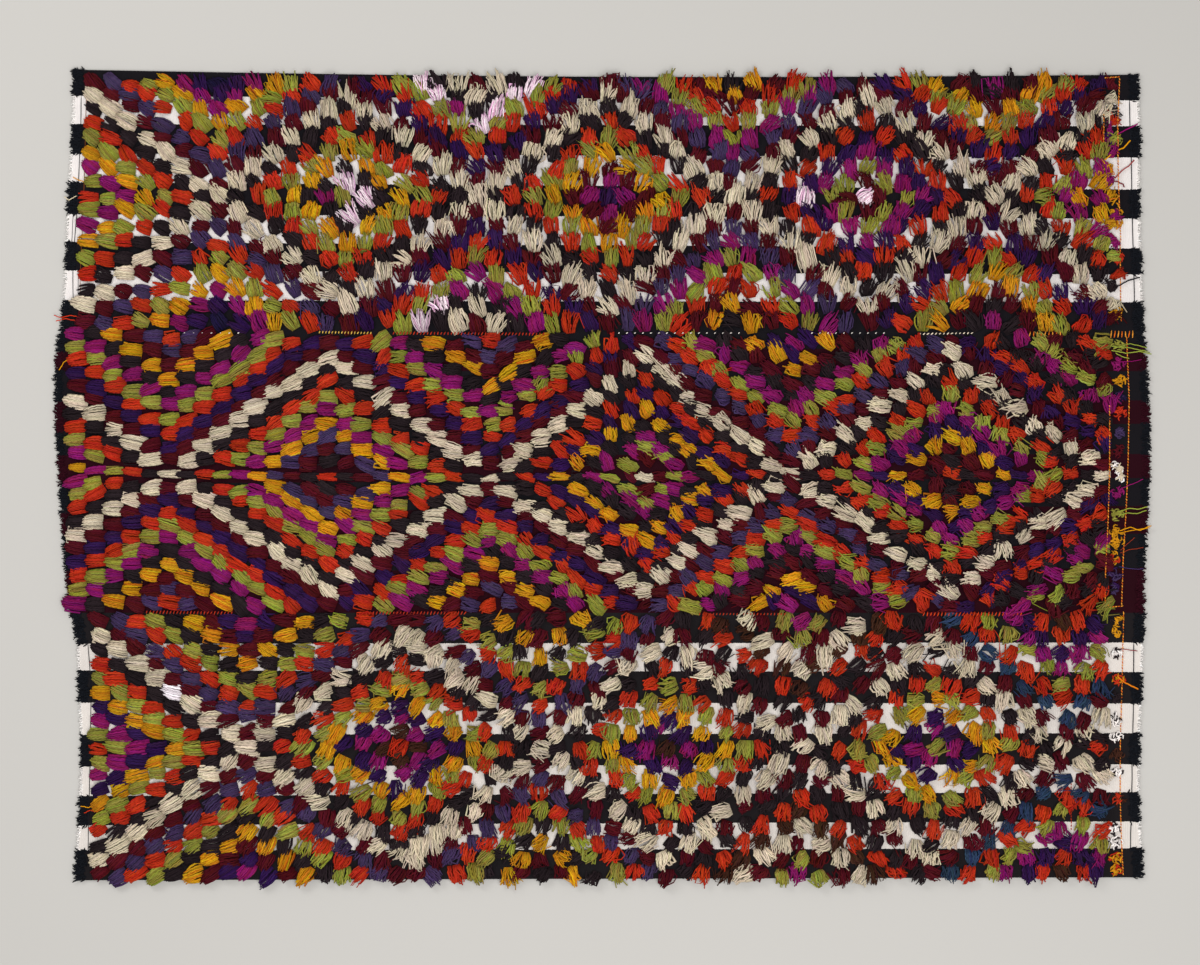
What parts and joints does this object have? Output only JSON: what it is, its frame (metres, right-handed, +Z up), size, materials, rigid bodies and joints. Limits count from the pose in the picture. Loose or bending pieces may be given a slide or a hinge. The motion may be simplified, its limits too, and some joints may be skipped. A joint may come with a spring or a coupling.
{
  "type": "tulu rug",
  "caption": "Long-pile knotted wool rug in nested stepped diamonds, of narrow striped woven strips sewn side by side, lying flat with frayed cut ends.",
  "frame": {"origin": "middle of the rug's outline, on the floor under it", "axes": "+X along the woven strips, +Y across them towards the far strip, +Z up out of the pile"},
  "size_m": [1.8258, 1.3646, 0.02],
  "materials": {
    "wool_outer": "loosely plied wool locks in orange, gold, green, magenta, violet, maroon, cream and black on a black and white striped weave",
    "wool_middle": "loosely plied wool locks in the same colours on a black and dark maroon striped weave"
  },
  "bodies": {
    "root": {"panel_far": "wool_outer", "panel_middle": "wool_middle", "panel_near": "wool_outer"}
  },
  "joints": []
}
